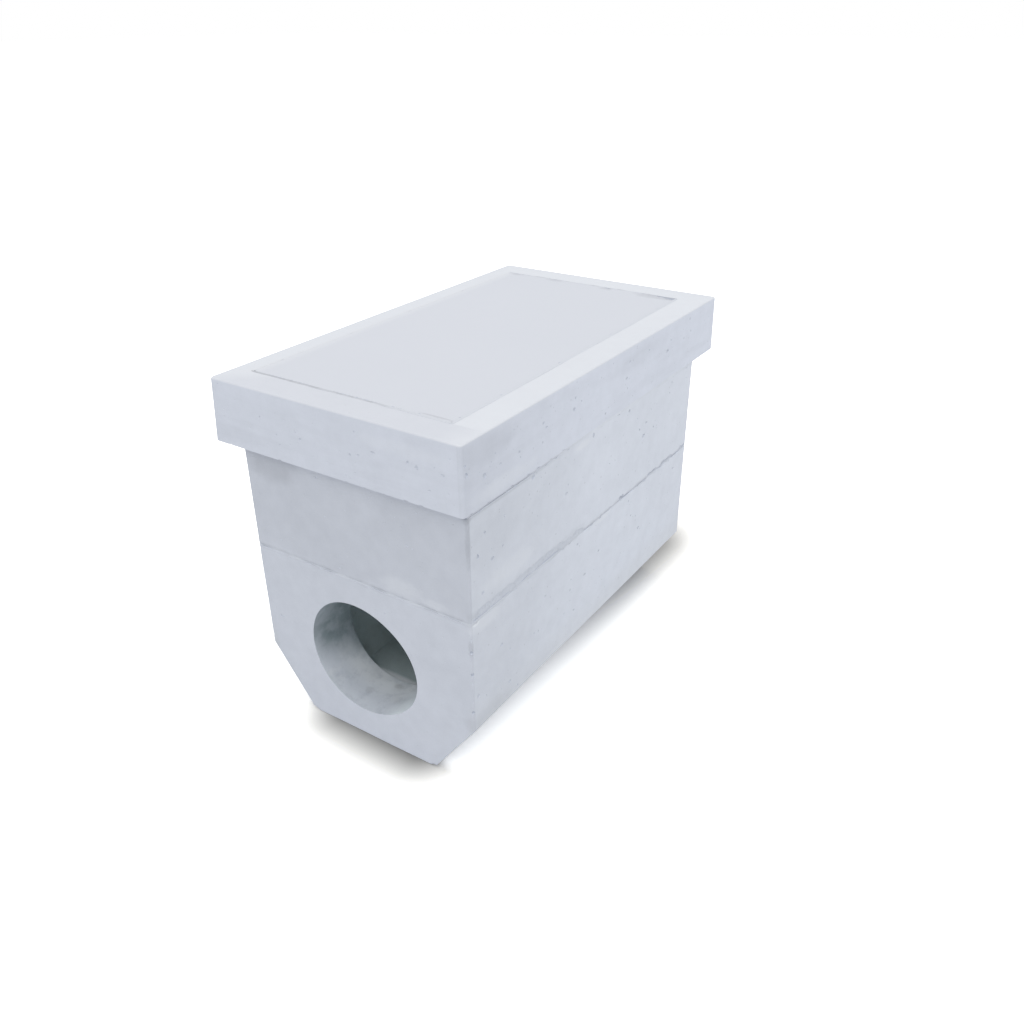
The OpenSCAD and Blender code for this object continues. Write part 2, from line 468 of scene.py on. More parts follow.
def frame_concrete():
    material, place = new_finish("worn_frame_concrete")
    x, y, z = axes(place)
    tone = cloudy_tone(place, broad=0.18, blotch=0.30, grain=0.12, shift=7.0)
    colour = blend(tone, paint(216, 222, 234), paint(235, 241, 254))
    # Level bands, as the mix was poured, and painted shade that darkens the near end
    bands = noise(place, 0.022, detail=2.0, stretch=(0.10, 0.10, 1.0), shift=2.0)
    colour = soil(step(bands, 0.45, 0.70) * 0.5, colour, grey(0.95))
    painted_near_end_shade = 1 - step(y, -0.50, -0.08)
    colour = soil(painted_near_end_shade, colour, grey(0.90))
    # The near right corner is darker along its splay and on the right face just beside it
    arris = step(x, FRAME_HIGH.x - 0.009, FRAME_HIGH.x - 0.003) * (1 - step(y, -0.524, -0.492))
    corner = step(x - y + (z - FRAME_LOW.z) * 0.08, 0.829, 0.833)
    colour = soil(arris.most(corner), colour, grey(0.955))
    colour = dab(place, colour, FRAME_STAINS, soil, grey(0.86))
    colour = dab(place, colour, FRAME_SMEARS, blend, SMEAR)
    sand = specks(place, 0.018, 0.30, 0.0020)
    colour = soil(sand * 0.4, colour, grey(0.78))
    # The rim is trowelled pale, and a little darker in front
    rim = step(z, FRAME_HIGH.z - 0.006, FRAME_HIGH.z - 0.002)
    rubbed = blend(tone, paint(224, 227, 234), paint(231, 235, 241))
    front_rim = (1 - step(y, SLAB_LOW.y - 0.008, SLAB_LOW.y)) * (1 - step(x, 0.215, 0.330))
    front_rim = front_rim * (1 - step(y - x * 0.8, -0.28, -0.19))
    rubbed = blend(front_rim, rubbed, blend(tone, paint(214, 218, 226), paint(223, 226, 234)))
    colour = blend(rim, colour, rubbed)
    return matt_surface(material, colour, tone * 0.1 + 0.80, fine_relief(place), 0.0005)


FRAME_CONCRETE = frame_concrete()
print(FRAME_CONCRETE.name, len(FRAME_CONCRETE.node_tree.nodes), "nodes")

# %% Slab concrete
# Painted shade of the gap round the slab: patches on the back edge beside the hollows where the
# grit has fallen in, and a painted shadow line across the top near its front right edge
SLAB_GAP_SHADE = [
    ((-0.295, 0.563, 0.841), (0.030, 0.012, 0.030), 0.40),
    ((-0.160, 0.563, 0.841), (0.035, 0.014, 0.030), 0.40),
    ((0.010, 0.560, 0.841), (0.030, 0.016, 0.030), 0.40),
    ((0.165, 0.558, 0.841), (0.080, 0.024, 0.030), 0.55),
    ((0.210, 0.562, 0.841), (0.024, 0.018, 0.030), 0.80),
    ((0.180, -0.4450, 0.841), (0.056, 0.0055, 0.030), 0.65),
]
# The left rim, the slab's left edge and the grit between them are equally pale
LEFT_PALE = paint(227, 230, 236)


def slab_concrete():
    material, place = new_finish("worn_slab_concrete")
    tone = cloudy_tone(place, broad=0.12, blotch=0.08, grain=0.08, shift=13.0)
    colour = blend(tone, paint(215, 219, 227), paint(221, 224, 232))
    x, y, z = axes(place)
    left_edge = 1 - step(x, SLAB_LOW.x - 0.005, SLAB_LOW.x + 0.030)
    colour = blend(left_edge * 0.7, colour, LEFT_PALE)
    colour = dab(place, colour, SLAB_GAP_SHADE, soil, grey(0.80))
    strokes = noise(place, 0.05, detail=2.0, stretch=(1.0, 0.15, 1.0), shift=5.0)
    relief = strokes * 0.5 + noise(place, 0.0030, detail=2.0) * 0.3
    return matt_surface(material, colour, tone * 0.1 + 0.78, relief, 0.0004)


SLAB_CONCRETE = slab_concrete()
print(SLAB_CONCRETE.name, len(SLAB_CONCRETE.node_tree.nodes), "nodes")

# %% [markdown]
# Three more surfaces belong to the same castings. Where an arris has broken away, the sand and
# stone of the mix show, rougher and darker than the skin. The wall of the pipe bore has never
# been rubbed down: it is stained greenish in its upper part, and spotted below, where painted
# light makes it lighter deeper in and towards its right. The inside of the chamber is in shade,
# with the green-grey of old release oil, and its floor is paler at the ends. A mask in the body's
# material could pick these places out, but each core and lump leaves its own material on the
# faces that it cuts, which is exact and costs nothing.

# %% Broken concrete
def broken_concrete():
    material, place = new_finish("broken_concrete")
    tone = noise(place, 0.009, detail=4.0, roughness=0.7)
    stones = specks(place, 0.009, 0.5, 0.005)
    colour = blend(tone, paint(200, 206, 217), paint(221, 227, 238))
    colour = soil(stones * 0.4, colour, grey(0.88))
    relief = tone + stones * 0.4
    return matt_surface(material, colour, tone * 0.1 + 0.88, relief, 0.0009)


BROKEN_CONCRETE = broken_concrete()
print(BROKEN_CONCRETE.name, len(BROKEN_CONCRETE.node_tree.nodes), "nodes")

# %% Wall of the pipe bore
BORE_SPOTS = [
    ((-0.051, -0.469, 0.076), (0.016, 0.016, 0.030), 0.45),
    ((-0.002, -0.416, 0.070), (0.022, 0.012, 0.030), 0.55),
    ((0.052, -0.467, 0.080), (0.034, 0.022, 0.030), 0.30),
]


def bore_concrete():
    material, place = new_finish("bore_concrete")
    x, y, z = axes(place)
    tone = cloudy_tone(place, broad=0.20, blotch=0.35, grain=0.15, shift=21.0)
    colour = blend(tone, paint(198, 205, 215), paint(223, 229, 238))
    # The stain starts lower the deeper it is in the bore; below it, painted light makes the wall
    # lighter deeper in
    depth = RISER_HIGH.y - y.size()
    upper = step(z + depth * 0.45, BORE_Z - 0.075, BORE_Z + 0.010)
    lower = 1 - upper
    painted_light_deep_in = step(depth, 0.04, 0.11) * lower
    colour = blend(painted_light_deep_in, colour, paint(242, 247, 252))
    stain = noise(place, 0.05, detail=4.0, roughness=0.6, shift=4.0)
    stained = upper * (0.66 + step(stain, 0.35, 0.60) * 0.34)
    stained = stained * (0.6 + step(depth, 0.0, 0.05) * 0.4)
    colour = soil(stained, colour, (0.40, 0.46, 0.455, 1.0))
    blotches = step(noise(place, 0.035, detail=4.0, roughness=0.65, shift=9.0), 0.42, 0.68)
    colour = soil(blotches * lower * 0.5, colour, (0.68, 0.70, 0.73, 1.0))
    scum = step(noise(place, 0.045, detail=3.0, stretch=(1.0, 0.5, 1.0), shift=15.0), 0.52, 0.70)
    colour = blend(scum * lower * 0.5, colour, paint(226, 231, 236))
    # Painted light makes the lower wall lighter towards its right side
    painted_light_right_wall = step(x, 0.02, 0.09) * lower
    colour = blend(painted_light_right_wall * 0.8, colour, paint(240, 249, 255))
    colour = dab(place, colour, BORE_SPOTS, soil, grey(0.70))
    colour = soil(1 - step(z, 0.080, 0.130), colour, grey(0.94))
    return matt_surface(material, colour, tone * 0.1 + 0.80, fine_relief(place), 0.0009)


BORE_CONCRETE = bore_concrete()
print(BORE_CONCRETE.name, len(BORE_CONCRETE.node_tree.nodes), "nodes")

# %% Inside of the chamber
def inside_concrete():
    material, place = new_finish("inside_concrete")
    tone = cloudy_tone(place, broad=0.30, blotch=0.30, grain=0.15, shift=31.0)
    colour = blend(tone, paint(178, 192, 194), paint(204, 216, 217))
    x, y, z = axes(place)
    colour = soil(1 - step(z, 0.085, 0.130), colour, grey(0.90))
    lighter = step(z, 0.10, 0.16) * 0.30 + step(z, 0.18, 0.32) * 0.60
    colour = blend(lighter, colour, paint(226, 242, 245))
    # The floor is paler near the end walls
    pale_floor_at_ends = step(y.size(), 0.368, 0.382) * (1 - step(z, FLOOR_THICKNESS + 0.002, 0.080))
    colour = blend(pale_floor_at_ends, colour, paint(236, 240, 244))
    return matt_surface(material, colour, tone * 0.1 + 0.80, fine_relief(place), 0.0008)


INSIDE_CONCRETE = inside_concrete()
print(INSIDE_CONCRETE.name, len(INSIDE_CONCRETE.node_tree.nodes), "nodes")

# %% [markdown]
# Mortar and grit are rougher than a cast face. The mortar is darker all along the lower joint and
# at the near end of the upper one, partly its own colour and partly painted shade of the sunk
# pointing; the grit in the gap round the slab is as pale as the edges beside it, but painted
# darker as shade of the gap along the back and along the front, most at its left. Both are the
# concrete's tone again, with more grain, so that they belong to the same chamber.

# %% Mortar and grit
def mortar():
    material, place = new_finish("worn_mortar")
    tone = cloudy_tone(place, broad=0.20, blotch=0.40, grain=0.25, shift=41.0)
    x, y, z = axes(place)
    colour = blend(tone, paint(213, 219, 230), paint(237, 243, 253))
    # The mortar is darker all along the lower joint and at the near end of the upper one, partly
    # its own colour and partly painted shade of the sunk pointing
    sunk = 1 - step(z, RISER_LOW.z + 0.02, RISER_LOW.z + 0.04) * step(y, -0.25, 0.0)
    colour = soil(sunk, colour, grey(0.87))
    relief = noise(place, 0.004, detail=3.0, roughness=0.7)
    return matt_surface(material, colour, tone * 0.05 + 0.92, relief, 0.0006)


def grit_dust():
    material, place = new_finish("grit_dust")
    x, y, z = axes(place)
    tone = cloudy_tone(place, broad=0.10, blotch=0.25, grain=0.25, shift=51.0)
    colour = blend(tone, paint(214, 218, 226), paint(222, 226, 233))
    left = 1 - step(x, SLAB_LOW.x - 0.001, SLAB_LOW.x + 0.001)
    colour = blend(left, colour, LEFT_PALE)
    # Painted shade of the gap: the grit is darker along the back, and along the front, most at its
    # left
    back = step(y, SLAB_HIGH.y - 0.001, SLAB_HIGH.y + 0.001)
    colour = soil(back, colour, grey(0.90))
    front = 1 - step(y, SLAB_LOW.y - 0.001, SLAB_LOW.y + 0.001)
    damp_and_shade = (1 - step(x, 0.00, 0.10)).most(0.12)
    damp_and_shade = damp_and_shade * (0.5 + step(noise(place, 0.04, shift=8.0), 0.35, 0.60) * 0.5)
    colour = soil(front * damp_and_shade, colour, grey(0.76))
    relief = noise(place, 0.003, detail=3.0, roughness=0.7)
    return matt_surface(material, colour, tone * 0.05 + 0.92, relief, 0.0006)


MORTAR = mortar()
GRIT = grit_dust()
print(MORTAR.name, GRIT.name)

# %% [markdown]
# ## Tools for modelling a casting
# A casting is made as its mould makes it: a block of the right size, with its edges sloped or
# rounded, and cores that leave the hollows. It could be built point by point, but the steps of
# the mould are easier to follow and to change. In Blender the block is a cube primitive, planes
# cut the slopes, the Bevel operator rounds the arrises, and a Boolean modifier takes out each
# core. Cut faces keep the material of the core that made them, so the bore's wall and the
# broken places get their own finish without any painting.

# %% Selection
def leave_edit():
    bpy.ops.object.mode_set(mode="OBJECT")


def work_on(piece):
    """Leaves only this piece selected and active, in object mode."""
    if bpy.context.object and bpy.context.object.mode != "OBJECT":
        leave_edit()
    bpy.ops.object.select_all(action="DESELECT")
    piece.select_set(True)
    bpy.context.view_layer.objects.active = piece


def pick_all(piece):
    """Edit mode, with everything selected."""
    work_on(piece)
    bpy.ops.object.mode_set(mode="EDIT")
    bpy.ops.mesh.select_all(action="SELECT")


def pick(piece, kind, wanted):
    """Edit mode, with only the wanted faces or edges selected."""
    work_on(piece)
    bpy.ops.object.mode_set(mode="EDIT")
    bpy.ops.mesh.select_mode(type=kind)
    bpy.ops.mesh.select_all(action="DESELECT")
    leave_edit()
    for part in piece.data.polygons if kind == "FACE" else piece.data.edges:
        part.select = wanted(part)
    bpy.ops.object.mode_set(mode="EDIT")


def pick_faces(piece, wanted):
    """Edit mode, with the faces selected whose centre and normal are wanted."""
    pick(piece, "FACE", lambda face: wanted(face.center, face.normal))


def pick_edges(piece, wanted):
    """Edit mode, with the edges selected whose two ends are wanted."""
    pick(piece, "EDGE", lambda edge: wanted(*[piece.data.vertices[n].co for n in edge.vertices]))


print("selection by place and normal")

# %% Which edges and faces
def every_edge(first, second):
    return True


def upright(first, second):
    """An edge that stands up, straight or with a draft."""
    rise = second - first
    return rise.z * rise.z > 0.9 * rise.length_squared


def level_at(height):
    """Edges that lie level at a height."""
    return lambda first, second: max(abs(first.z - height), abs(second.z - height)) < NEAR


def top_at(height):
    """Faces that look up from a height."""
    return lambda centre, normal: normal.z > 0.9 and centre.z > height - NEAR


print("edges: every_edge, upright, level_at; faces: top_at")

# %% Modifiers and blocks
def use_modifier(piece, kind, **settings):
    """Adds a modifier with these settings and applies it."""
    work_on(piece)
    modifier = piece.modifiers.new(kind.lower(), kind)
    for name, value in settings.items():
        setattr(modifier, name, value)
    bpy.ops.object.modifier_apply(modifier=modifier.name)


def block(name, low, high, material):
    """A block between two corners, with its place in its mesh."""
    low, high = Vector(low), Vector(high)
    bpy.ops.object.select_all(action="DESELECT")
    bpy.ops.mesh.primitive_cube_add(size=1.0, location=(low + high) / 2)
    piece = bpy.context.object
    piece.name = name
    piece.data.name = name
    piece.scale = high - low
    bpy.ops.object.transform_apply(location=True, rotation=True, scale=True)
    piece.data.materials.append(material)
    return piece


def span(piece):
    """The lowest and the highest corner of a piece."""
    return Vector(piece.bound_box[0]), Vector(piece.bound_box[6])


print("a block starts as a cube primitive at its size and place")

# %% Slices, slopes and rounds
def slice_off(piece, point, outward):
    """Cuts a piece by a plane, drops what lies outward of it, and closes the cut."""
    pick_all(piece)
    bpy.ops.mesh.bisect(
        plane_co=point, plane_no=outward, use_fill=True, clear_outer=True, threshold=1e-6
    )
    leave_edit()


def round_edges(piece, wanted, leg, segments):
    """Rounds the wanted edges; one segment makes a flat slope."""
    pick_edges(piece, wanted)
    bpy.ops.mesh.bevel(offset=leg, segments=segments, profile=0.5, affect="EDGES")
    leave_edit()


def lean_top(piece, top, by):
    """Moves the top face's four sides out by a distance, or in if it is negative."""
    low, high = span(piece)
    pick_faces(piece, top_at(top))
    middle = (low.x + high.x) / 2, (low.y + high.y) / 2, top
    grow = 1 + 2 * by / (high.x - low.x), 1 + 2 * by / (high.y - low.y), 1.0
    bpy.ops.transform.resize(value=grow, center_override=middle)
    leave_edit()


def ease_edges(piece, width):
    """Rounds every sharp edge that is left, once points that nearly touch are merged."""
    pick_all(piece)
    bpy.ops.mesh.remove_doubles(threshold=0.0004)
    leave_edit()
    sharp = {"limit_method": "ANGLE", "angle_limit": math.radians(40)}
    use_modifier(piece, "BEVEL", width=width, segments=2, **sharp)


print("shaping: slice_off, round_edges, lean_top, ease_edges")

# %% Cut a core out
def volume(piece):
    """The volume of a closed piece, in litres."""
    total = 0.0
    for face in piece.data.polygons:
        total += face.area * face.normal.dot(face.center) / 3
    return 1000 * total


def cut(piece, core):
    """Takes a core out of a piece. The cut faces keep the core's material."""
    before = volume(piece)
    use_modifier(
        piece,
        "BOOLEAN",
        operation="DIFFERENCE",
        solver="EXACT",
        material_mode="TRANSFER",
        object=core,
    )
    bpy.data.objects.remove(core)
    if not 0.01 < volume(piece) / before < 1.001:
        raise RuntimeError(f"cutting {piece.name} failed: {before:.2f} to {volume(piece):.2f} l")


print("a core leaves its own material on the faces that it makes")

# %% Make a face uneven
def section(piece, spacing):
    """Cuts a piece into a grid of faces of about that size, so that it can be made uneven."""
    low, high = span(piece)
    pick_all(piece)
    for axis in range(3):
        length = high[axis] - low[axis]
        count = max(1, round(length / spacing))
        across = [float(n == axis) for n in range(3)]
        for n in range(1, count):
            point = list(low)
            point[axis] = low[axis] + length * n / count
            bpy.ops.mesh.select_all(action="SELECT")
            bpy.ops.mesh.bisect(plane_co=point, plane_no=across, threshold=2e-4)
    leave_edit()


def displace(piece, strength, metres, middle):
    """Moves the surface in and out, in cloudy lumps of that size; grey at middle stays."""
    texture = bpy.data.textures.new("unevenness", "CLOUDS")
    texture.noise_scale = metres
    texture.noise_depth = 2
    clouds = {"texture": texture, "texture_coords": "LOCAL"}
    use_modifier(piece, "DISPLACE", strength=strength, mid_level=middle, **clouds)


def make_uneven(piece, depth, metres):
    """Sinks the surface by up to that depth, in lumps of that size, and never raises it."""
    displace(piece, -depth, metres, middle=0.0)


print("a grid of small faces, and lumps that sink it")

# %% [markdown]
# ### Air holes and breaks
# Air trapped against the mould leaves small round holes in the upright faces, and hardly any in
# the top. They could be faked by bump, but real holes catch shadow from every side. One lump
# is modelled in a few shapes, copied to many places, and all the copies are cut out at once.
# Larger breaks along an arris are a row of such lumps, melted together by a voxel remesh, so
# that the break is one ragged hollow.

# %% Lumps to cut away
def lump(seed):
    """An uneven ball that fills a box from -1 to 1, one of many shapes."""
    away = Vector((seed * 5.3, seed * 2.7, 0.0))
    bpy.ops.object.select_all(action="DESELECT")
    bpy.ops.mesh.primitive_ico_sphere_add(subdivisions=2, radius=1.0, location=away)
    piece = bpy.context.object
    bpy.ops.object.transform_apply(location=True, rotation=True, scale=True)
    piece.data.materials.append(BROKEN_CONCRETE)
    displace(piece, 0.9, 1.1, middle=0.5)
    low, high = span(piece)
    size = (high - low) / 2
    grow = Matrix.Diagonal((1 / size.x, 1 / size.y, 1 / size.z, 1.0))
    piece.data.transform(grow @ Matrix.Translation(-(low + high) / 2))
    return piece


def place_lump(shape, spot, along, up, length, height, depth, turn=0.0):
    """Copies a lump to a spot on a face, squashed to a length, a height and a depth."""
    u = along.normalized()
    n = u.cross(up).normalized()
    v = n.cross(u)
    across = u * math.cos(turn) + v * math.sin(turn)
    upward = v * math.cos(turn) - u * math.sin(turn)
    matrix = Matrix.Identity(4)
    for column, axis in enumerate((across * length / 2, upward * height / 2, n * depth)):
        matrix.col[column] = (*axis, 0.0)
    matrix.col[3] = (*spot, 1.0)
    copy = shape.copy()
    copy.data = shape.data.copy()
    copy.data.transform(matrix)
    bpy.context.scene.collection.objects.link(copy)
    return copy


SHAPES = [lump(seed) for seed in range(5)]
print(len(SHAPES), "lumps of", len(SHAPES[0].data.polygons), "faces")

# %% Join lumps, or melt them into one break
ALONG_X = Vector((1, 0, 0))
ALONG_Y = Vector((0, 1, 0))
UP = Vector((0, 0, 1))
BREAK_VOXEL = 0.0025


def join(pieces):
    """Joins pieces into one."""
    work_on(pieces[0])
    for piece in pieces:
        piece.select_set(True)
    if len(pieces) > 1:
        bpy.ops.object.join()
    return bpy.context.object


def ragged_break(name, spots, smoothing=2):
    """One ragged lump from overlapping ones, each given by its centre and three half sizes."""
    parts = []
    for n, (centre, (deep, half_length, half_height)) in enumerate(spots):
        shape = SHAPES[n % len(SHAPES)]
        size = half_length * 2, half_height * 2, deep
        parts.append(place_lump(shape, Vector(centre), ALONG_Y, UP, *size))
    whole = join(parts)
    whole.name = name
    use_modifier(whole, "REMESH", mode="VOXEL", voxel_size=BREAK_VOXEL)
    use_modifier(whole, "SMOOTH", factor=0.5, iterations=smoothing)
    displace(whole, 0.0025, 0.010, middle=0.5)
    whole.data.materials.clear()
    whole.data.materials.append(BROKEN_CONCRETE)
    return whole


print("breaks are remeshed at", BREAK_VOXEL * 1000, "mm")

# %% Faces and arrises to wear
def side_faces(low, high, lean=0.0):
    """The four upright faces of a block, each as a corner, the way along it and the way up."""
    width, length, rise = high - low
    faces = {
        "front": ((low.x, low.y, low.z), (width, 0, 0), (0, lean, rise)),
        "right": ((high.x, low.y, low.z), (0, length, 0), (-lean, 0, rise)),
        "back": ((high.x, high.y, low.z), (-width, 0, 0), (0, -lean, rise)),
        "left": ((low.x, high.y, low.z), (0, -length, 0), (lean, 0, rise)),
    }
    return {side: [Vector(part) for part in parts] for side, parts in faces.items()}


def long_arris(side, height):
    """The two ends of the body's arris on the left, -1, or on the right, 1, at a height."""
    x = side * RISER_HIGH.x
    return (x, RISER_LOW.y, height), (x, RISER_HIGH.y, height)


def end_arris(end, height):
    """The two ends of the body's arris at its near end, -1, or its far end, 1."""
    y = end * RISER_HIGH.y
    return (RISER_LOW.x, y, height), (RISER_HIGH.x, y, height)


def on_surface(piece, spot, along, up):
    """The point of a piece's uneven surface at a spot of its even face."""
    outward = along.cross(up).normalized()
    hit, place, normal, face = piece.ray_cast(spot + outward * 0.01, -outward)
    return place if hit else spot


print("arris on the right:", long_arris(1, SHOULDER_Z))

# %% [markdown]
# The wear of one casting is kept together in a small class. It could be a particle system, but
# its copies would be hard to keep apart. Here the casting has its own seeded dice, so that every
# run wears it in the same way, and notes which places are taken, because lumps that touch each
# other would spoil the one cut that takes them all out.

# %% The wear of one casting
APART = 0.001


class Wear:
    """The lumps to take out of one casting, and the places that they need."""

    def __init__(self, seed):
        self.dice = random.Random(seed)
        self.taken = []
        self.holes = []
        self.nicks = []

    def take(self, spot, radius):
        """Keeps other lumps away from a place."""
        self.taken.append((Vector(spot), radius))

    def finds_room(self, spot, radius):
        """Takes a place if it keeps clear of those that are taken already."""
        if any((spot - other).length < radius + reach + APART for other, reach in self.taken):
            return False
        self.take(spot, radius)
        return True

    def cut_from(self, piece, *breaks):
        """Takes all the holes and nicks out at once, and the larger breaks with them."""
        print(piece.name, len(self.holes), "holes", len(self.nicks), "nicks", len(breaks), "breaks")
        cut(piece, join(self.holes + self.nicks + list(breaks)))


print("lumps keep at least", APART * 1000, "mm apart")

# %% Air holes, by hand and scattered
HOLE_SMALLEST = 0.0022
HOLE_RANGE = 0.0042
HOLE_DEPTH = 0.27
HOLE_MARGIN = 0.012
# The room that a hole takes, as a share of its size, with some to spare
HOLE_ROOM = 0.65


def marked_holes(wear, faces, marks):
    """Holes at given places: the face, the place along it and its height, the length and the
    height.
    """
    spots = []
    for side, along_at, up_at, length, height in marks:
        corner, along, up = faces[side]
        axis = 0 if side in ("front", "back") else 1
        share = (along_at - corner[axis]) / along[axis]
        rise = (up_at - corner.z) / up.z
        spot = corner + along * share + up * rise
        if wear.finds_room(spot, HOLE_ROOM * max(length, height)):
            spots.append((spot, along, up, length, height, HOLE_DEPTH * height))
    return spots


def scattered_holes(wear, face, count):
    """Holes by chance on one face, most of them small."""
    corner, along, up = face
    edge_u, edge_v = HOLE_MARGIN / along.length, HOLE_MARGIN / up.length
    spots = []
    for _ in range(count):
        size = HOLE_SMALLEST + HOLE_RANGE * wear.dice.random() ** 3
        stretch = wear.dice.uniform(0.9, 1.5)
        share = wear.dice.uniform(edge_u, 1 - edge_u)
        rise = wear.dice.uniform(edge_v, 1 - edge_v)
        spot = corner + along * share + up * rise
        turn = wear.dice.uniform(-0.9, 0.9)
        if wear.finds_room(spot, HOLE_ROOM * size * max(1.0, stretch)):
            spots.append((spot, along, up, size * stretch, size, HOLE_DEPTH * size, turn))
    return spots


def air_holes(wear, piece, faces, marks, counts):
    """Places the holes of a casting, each on the piece's uneven surface."""
    spots = marked_holes(wear, faces, marks)
    for side, count in counts.items():
        spots += scattered_holes(wear, faces[side], count)
    for spot, along, up, *size in spots:
        shape = wear.dice.choice(SHAPES)
        spot = on_surface(piece, spot, along, up)
        wear.holes.append(place_lump(shape, spot, along, up, *size))


largest = HOLE_SMALLEST + HOLE_RANGE
print("scattered holes are", HOLE_SMALLEST * 1000, "to", round(largest * 1000, 1), "mm high")

# %% Chips and nicks
def chip(wear, spot, along, up, *size):
    """One chip at a place. Its size is a length, a height and a depth."""
    shape = wear.dice.choice(SHAPES)
    wear.nicks.append(place_lump(shape, Vector(spot), along, up, *size))


def nick_arris(wear, start, end, count, size):
    """Small nicks along an arris between its two ends."""
    along = Vector(end) - Vector(start)
    up = UP if abs(along.normalized().z) < 0.9 else ALONG_Y
    for n in range(count):
        share = (n + wear.dice.uniform(0.15, 0.85)) / count
        reach = size * wear.dice.uniform(0.35, 1.0)
        spot = Vector(start) + along * share
        shape = wear.dice.choice(SHAPES)
        if wear.finds_room(spot, 1.3 * reach):
            nick = place_lump(shape, spot, along, up, reach * 2.2, reach, reach * 0.5)
            wear.nicks.append(nick)


def nick_round(wear, low, high, height, counts, size):
    """Nicks round a block at a height, so many across it and so many along it."""
    corners = [(low.x, low.y), (high.x, low.y), (high.x, high.y), (low.x, high.y)]
    for n in range(4):
        start, end = (*corners[n], height), (*corners[(n + 1) % 4], height)
        nick_arris(wear, start, end, counts[n % 2], size)


print("chips are placed one by one, nicks along an arris")

# %% Close a casting and hand it to its body
def open_edges(piece):
    """How many edges don't lie between exactly two faces; 0 on a closed piece."""
    uses = [0] * len(piece.data.edges)
    for loop in piece.data.loops:
        uses[loop.edge_index] += 1
    return sum(count != 2 for count in uses)


def hand_over(piece, body, node):
    """Turns faces outward, shades smooth between arrises, and stands for a node."""
    pick_all(piece)
    bpy.ops.mesh.normals_make_consistent(inside=False)
    leave_edit()
    bpy.ops.object.shade_smooth_by_angle(angle=math.radians(32))
    use_modifier(piece, "WEIGHTED_NORMAL", mode="FACE_AREA", keep_sharp=True)
    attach(piece, body)
    if node:
        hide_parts(node)
    triangles = sum(len(face.vertices) - 2 for face in piece.data.polygons)
    print(piece.name, "rides on", body, "with", triangles, "triangles,", open_edges(piece), "open")


# %% [markdown]
# ## The base
# The base is a trough. Its two long bottom edges are sloped off, its end walls are thick enough
# to hold a pipe, and an upstand round its top locates the riser. It could be drawn as a section
# and extruded, but its end walls would still have to be added. So it starts as a block: two
# planes cut the slopes, the top face is inset and pulled up for the upstand, and three kinds of
# core leave the shaft, the trough and the bores.

# %% Base: the outside
base = block(
    "base_casting",
    (RISER_LOW.x, RISER_LOW.y, BASE_LOW.z),
    (RISER_HIGH.x, RISER_HIGH.y, SHOULDER_Z),
    BODY_CONCRETE,
)
for side in (-1, 1):
    slope_top = side * RISER_HIGH.x, 0, SLOPE_HEIGHT
    slice_off(base, slope_top, (side * SLOPE_HEIGHT, 0, -SLOPE_WIDTH))
round_edges(base, every_edge, BODY_ARRIS, segments=3)

pick_faces(base, top_at(SHOULDER_Z))
bpy.ops.mesh.inset(thickness=SKIRT_THICKNESS + LAP_GAP - BODY_ARRIS)
upstand = {"value": (0, 0, BASE_HIGH.z - SHOULDER_Z)}
bpy.ops.mesh.extrude_region_move(TRANSFORM_OT_translate=upstand)
leave_edit()
print("base outside", [round(side, 3) for side in base.dimensions])

# %% Base: the shaft and the trough
shaft_low = Vector((RISER_LOW.x + SIDE_WALL, RISER_LOW.y + RISER_END_WALL, SHOULDER_Z))
shaft_high = Vector((RISER_HIGH.x - SIDE_WALL, RISER_HIGH.y - RISER_END_WALL, 0))


def splayed_core(name, low, high, material):
    """A core whose upright corners are splayed, as inside corners are cast."""
    core = block(name, low, high, material)
    round_edges(core, upright, INSIDE_SPLAY, segments=1)
    return core


def shaft_core(bottom, top):
    """The core of the shaft between two heights."""
    low, high = (shaft_low.x, shaft_low.y, bottom), (shaft_high.x, shaft_high.y, top)
    return splayed_core("shaft_core", low, high, INSIDE_CONCRETE)


def trough_core():
    """The core of the trough, with slopes parallel to the outer ones."""
    half_width = RISER_HIGH.x - SIDE_WALL
    half_length = RISER_HIGH.y - BASE_END_WALL
    core = splayed_core(
        "trough_core",
        (-half_width, -half_length, FLOOR_THICKNESS),
        (half_width, half_length, BASE_HIGH.z + PAST),
        INSIDE_CONCRETE,
    )
    steepness = math.hypot(SLOPE_WIDTH, SLOPE_HEIGHT) / SLOPE_HEIGHT
    slope_foot = FOOT_HALF_WIDTH - SIDE_WALL * steepness
    for side in (-1, 1):
        slice_off(core, (side * slope_foot, 0, 0), (side * SLOPE_HEIGHT, 0, -SLOPE_WIDTH))
    return core


cut(base, shaft_core(SHOULDER_Z, BASE_HIGH.z + PAST))
cut(base, trough_core())
print("base hollowed:", round(volume(base), 1), "litres of concrete")

# %% [markdown]
# The bores are cast round a former that is pulled out while the concrete is young, so they sag:
# each is a little wide and low, and pushed out of round in three soft lobes. A lattice could
# bend a cylinder like that, but the fault is simple enough to work out: the cylinder is laid
# along the pipe run and stretched, and its points are moved out and in by their direction.

